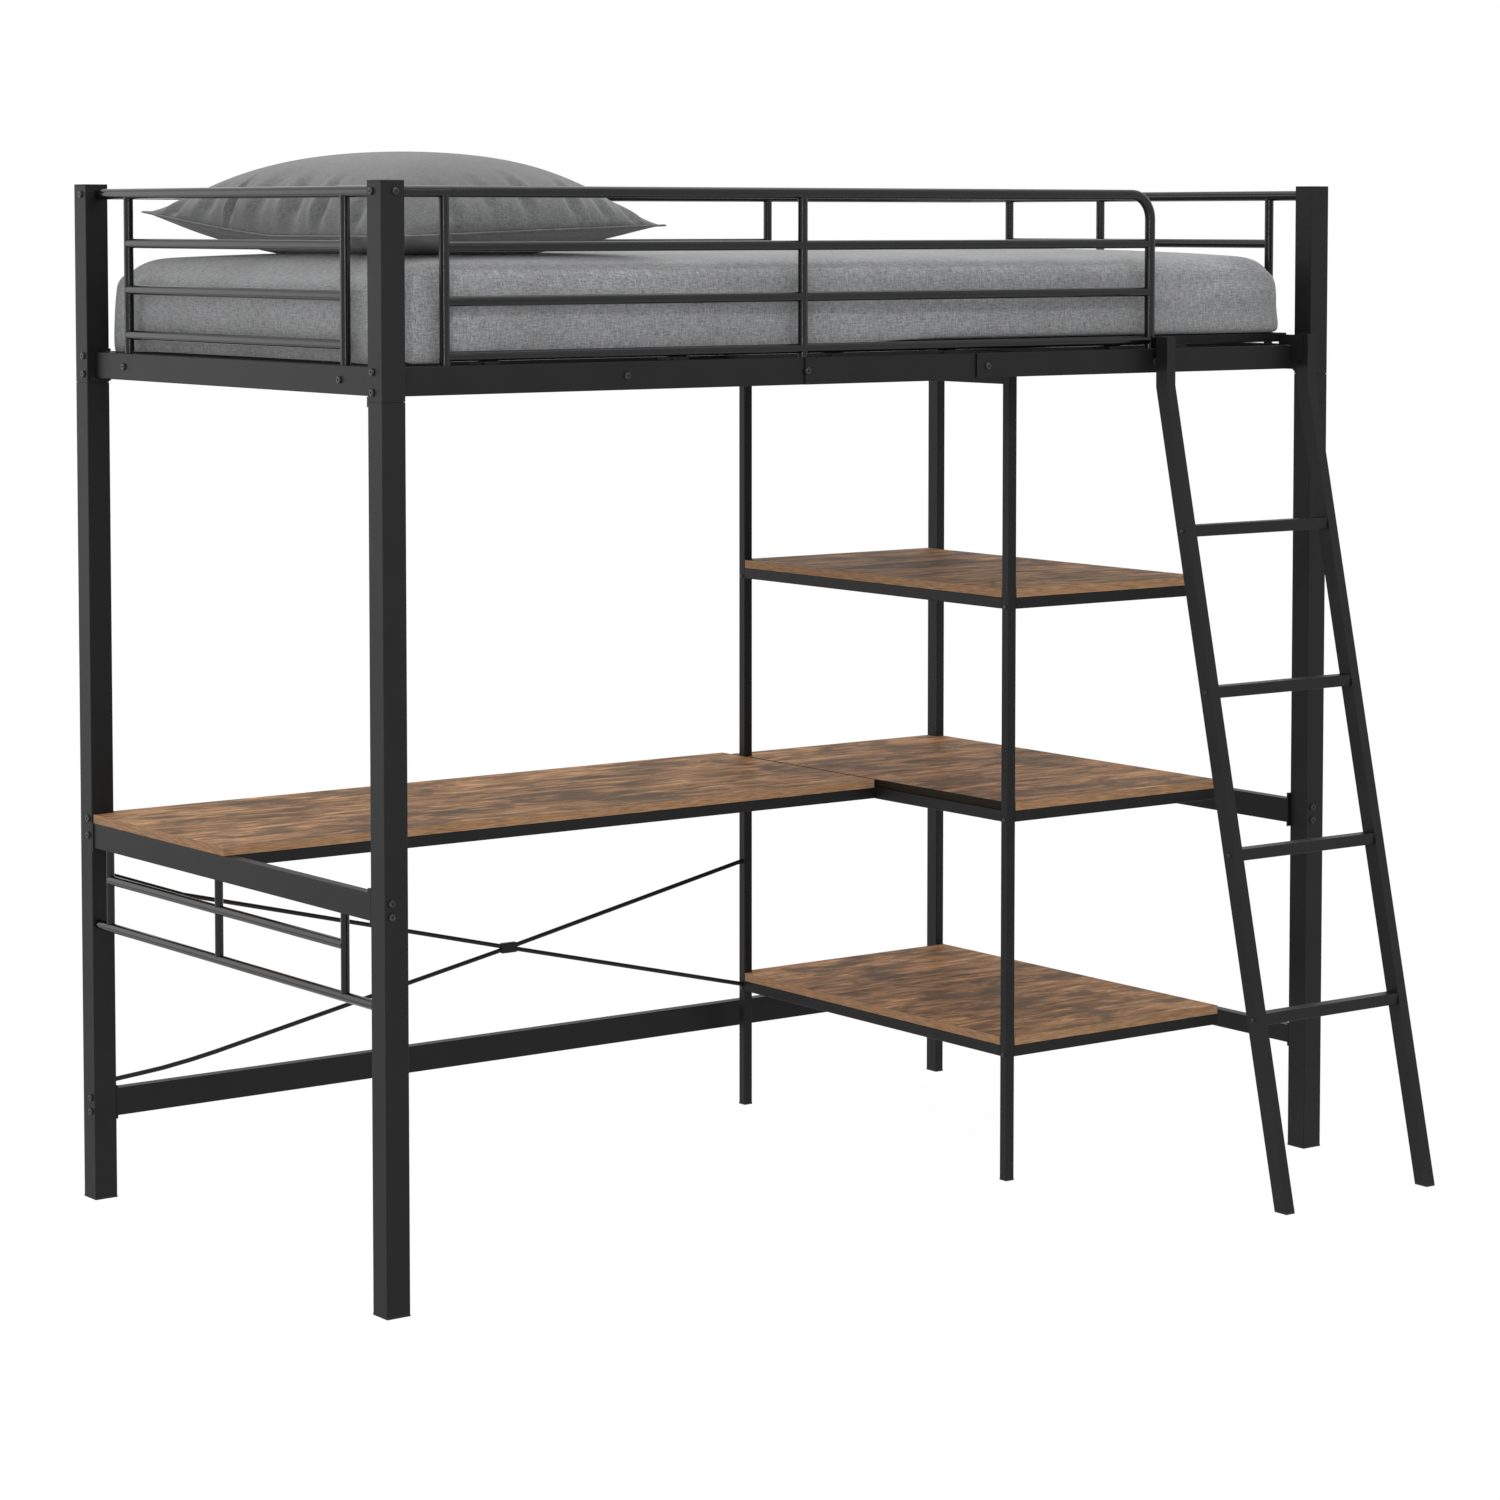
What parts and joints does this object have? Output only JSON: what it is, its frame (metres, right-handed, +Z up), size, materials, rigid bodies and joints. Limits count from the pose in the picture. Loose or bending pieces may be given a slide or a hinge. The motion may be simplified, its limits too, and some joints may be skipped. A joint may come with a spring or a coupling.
{
  "type": "loft bed with desk",
  "caption": "Single loft bed in black steel tube with a corner desk and shelves under it, a hook-on ladder, a mattress and a pillow.",
  "frame": {"origin": "middle of the whole object's footprint, ladder included, at floor level", "axes": "+X from the head end to the foot end, +Y from the ladder side to the wall side, +Z up"},
  "size_m": [1.999, 1.3468, 1.8075],
  "materials": {
    "posts": "satin powder coat",
    "caps": "moulded plastic",
    "guards": "satin powder coat",
    "rails": "satin powder coat",
    "deck": "satin powder coat",
    "boards": "oak foil, dull",
    "shelf_steel": "satin powder coat",
    "brace": "satin powder coat",
    "fasteners": "blackened steel",
    "ladder": "satin powder coat",
    "mattress_cloth": "mottled weave",
    "pillow_cloth": "mottled weave"
  },
  "bodies": {
    "frame": {"back_guard_bars": "guards", "back_guard_top_rail": "guards", "back_left_leg": "posts", "back_left_post": "posts", "back_lower_rail": "rails", "back_rail_left": "rails", "back_rail_right": "rails", "back_right_leg": "posts", "bottom_shelf_board": "boards", "bottom_shelf_frame": "shelf_steel", "brace_hub": "brace", "brace_rods": "brace", "deck_cross_bearers": "deck", "deck_frame_left": "deck", "deck_frame_right": "deck", "deck_slats": "deck", "desk_back_rail": "rails", "desk_front_rail": "rails", "desk_return_board": "boards", "desk_top": "boards", "foot_end_rail": "rails", "footboard_bars": "guards", "footboard_top_rail": "guards", "frame_bolts": "fasteners", "front_guard_bars": "guards", "front_guard_top_tube": "guards", "front_guard_uprights": "guards", "front_left_leg": "posts", "front_left_post": "posts", "front_rail_left": "rails", "front_rail_right": "rails", "front_right_leg": "posts", "front_right_post": "posts", "head_end_rail": "rails", "headboard_slats": "guards", "headboard_top_rail": "guards", "headboard_uprights": "guards", "inner_joiners": "posts", "left_desk_rail": "rails", "left_infill_bars": "guards", "leg_foot_caps": "caps", "middle_shelf_frame": "shelf_steel", "post_top_caps": "caps", "rail_brackets": "rails", "rail_splice_plates": "rails", "right_desk_rail": "rails", "right_lower_rail": "rails", "shelf_post_back": "shelf_steel", "shelf_post_front": "shelf_steel", "shelf_top_tie": "shelf_steel", "top_shelf_board": "boards", "top_shelf_frame": "shelf_steel"},
    "ladder": {"ladder_feet": "caps", "ladder_hooks": "ladder", "ladder_rail_left": "ladder", "ladder_rail_right": "ladder", "ladder_rungs": "ladder", "ladder_screws": "fasteners"},
    "mattress": {"mattress": "mattress_cloth"},
    "pillow": {"pillow": "pillow_cloth"}
  },
  "joints": [
    {"name": "ladder_lift", "type": "slide", "parent": "frame", "child": "ladder", "axis": [0, 0, 1], "range_m": [0, 0.1]},
    {"name": "mattress_lift", "type": "slide", "parent": "frame", "child": "mattress", "axis": [0, 0, 1], "range_m": [0, 0.3]},
    {"name": "pillow_lift", "type": "slide", "parent": "mattress", "child": "pillow", "axis": [0, 0, 1], "range_m": [0, 0.2]}
  ]
}
